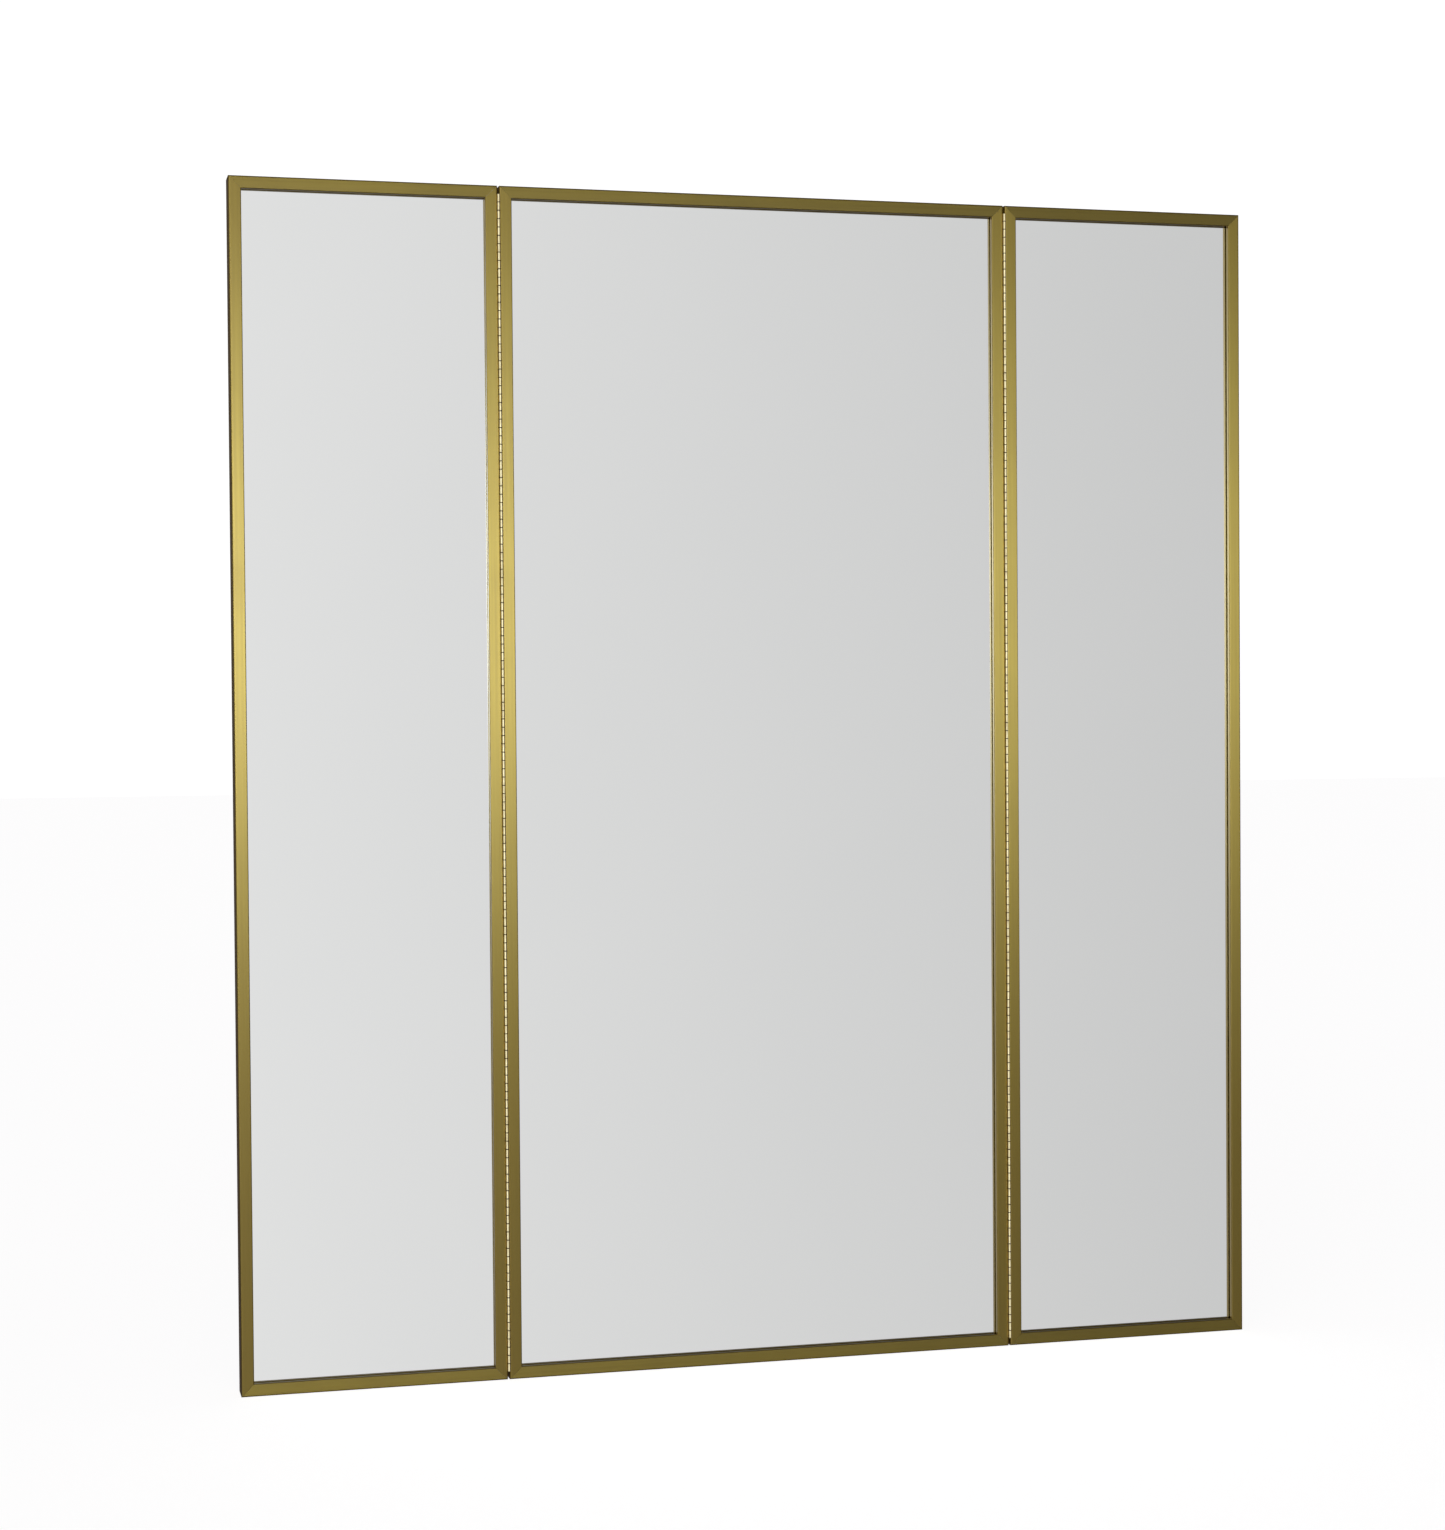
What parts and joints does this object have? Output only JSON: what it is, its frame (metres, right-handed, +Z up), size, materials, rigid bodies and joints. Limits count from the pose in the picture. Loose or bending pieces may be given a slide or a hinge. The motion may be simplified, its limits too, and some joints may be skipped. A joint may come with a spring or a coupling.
{
  "type": "folding mirror screen",
  "caption": "Folding mirror screen: a wide centre panel with a half-width wing on each side, in slim brass-coloured frames joined by continuous hinges.",
  "frame": {"origin": "on the floor, at the middle of the open screen's footprint", "axes": "+X along the open screen to the right as seen from the front, -Y out of the mirrors, +Z up"},
  "size_m": [1.6288, 0.0476, 1.829],
  "materials": {
    "frame_brass": "brass-coloured, brushed along each member, satin",
    "hinge_brass": "bright rolled sheet, lightly polished",
    "mirror_glass": "plain silvered float glass",
    "key_aluminium": "mill finish",
    "batten_wood": "planed softwood",
    "back_board": "black-faced fibreboard"
  },
  "bodies": {
    "centre_panel": {"centre_stile_left": "frame_brass", "centre_rail_top": "frame_brass", "centre_stile_right": "frame_brass", "centre_rail_bottom": "frame_brass", "centre_key_bottom_left": "key_aluminium", "centre_key_top_left": "key_aluminium", "centre_key_top_right": "key_aluminium", "centre_key_bottom_right": "key_aluminium", "centre_mirror": "mirror_glass", "centre_batten_left": "batten_wood", "centre_batten_right": "batten_wood", "centre_batten_bottom": "batten_wood", "centre_batten_top": "batten_wood", "centre_back_panel": "back_board", "left_hinge_centre_leaf": "hinge_brass", "left_hinge_pin": "hinge_brass", "right_hinge_centre_leaf": "hinge_brass", "right_hinge_pin": "hinge_brass"},
    "left_wing": {"left_wing_stile_left": "frame_brass", "left_wing_rail_top": "frame_brass", "left_wing_stile_right": "frame_brass", "left_wing_rail_bottom": "frame_brass", "left_wing_key_bottom_left": "key_aluminium", "left_wing_key_top_left": "key_aluminium", "left_wing_key_top_right": "key_aluminium", "left_wing_key_bottom_right": "key_aluminium", "left_wing_mirror": "mirror_glass", "left_wing_batten_left": "batten_wood", "left_wing_batten_right": "batten_wood", "left_wing_batten_bottom": "batten_wood", "left_wing_batten_top": "batten_wood", "left_wing_back_panel": "back_board", "left_hinge_wing_leaf": "hinge_brass"},
    "right_wing": {"right_wing_stile_left": "frame_brass", "right_wing_rail_top": "frame_brass", "right_wing_stile_right": "frame_brass", "right_wing_rail_bottom": "frame_brass", "right_wing_key_bottom_left": "key_aluminium", "right_wing_key_top_left": "key_aluminium", "right_wing_key_top_right": "key_aluminium", "right_wing_key_bottom_right": "key_aluminium", "right_wing_mirror": "mirror_glass", "right_wing_batten_left": "batten_wood", "right_wing_batten_right": "batten_wood", "right_wing_batten_bottom": "batten_wood", "right_wing_batten_top": "batten_wood", "right_wing_back_panel": "back_board", "right_hinge_wing_leaf": "hinge_brass"}
  },
  "joints": [
    {"name": "left_wing_hinge", "type": "hinge", "parent": "centre_panel", "child": "left_wing", "pos_m": [-0.40795, -0.02165, 0.9145], "axis": [0, 0, 1], "range_deg": [0, 180]},
    {"name": "right_wing_hinge", "type": "hinge", "parent": "centre_panel", "child": "right_wing", "pos_m": [0.40795, -0.02165, 0.9145], "axis": [0, 0, -1], "range_deg": [0, 180]}
  ]
}
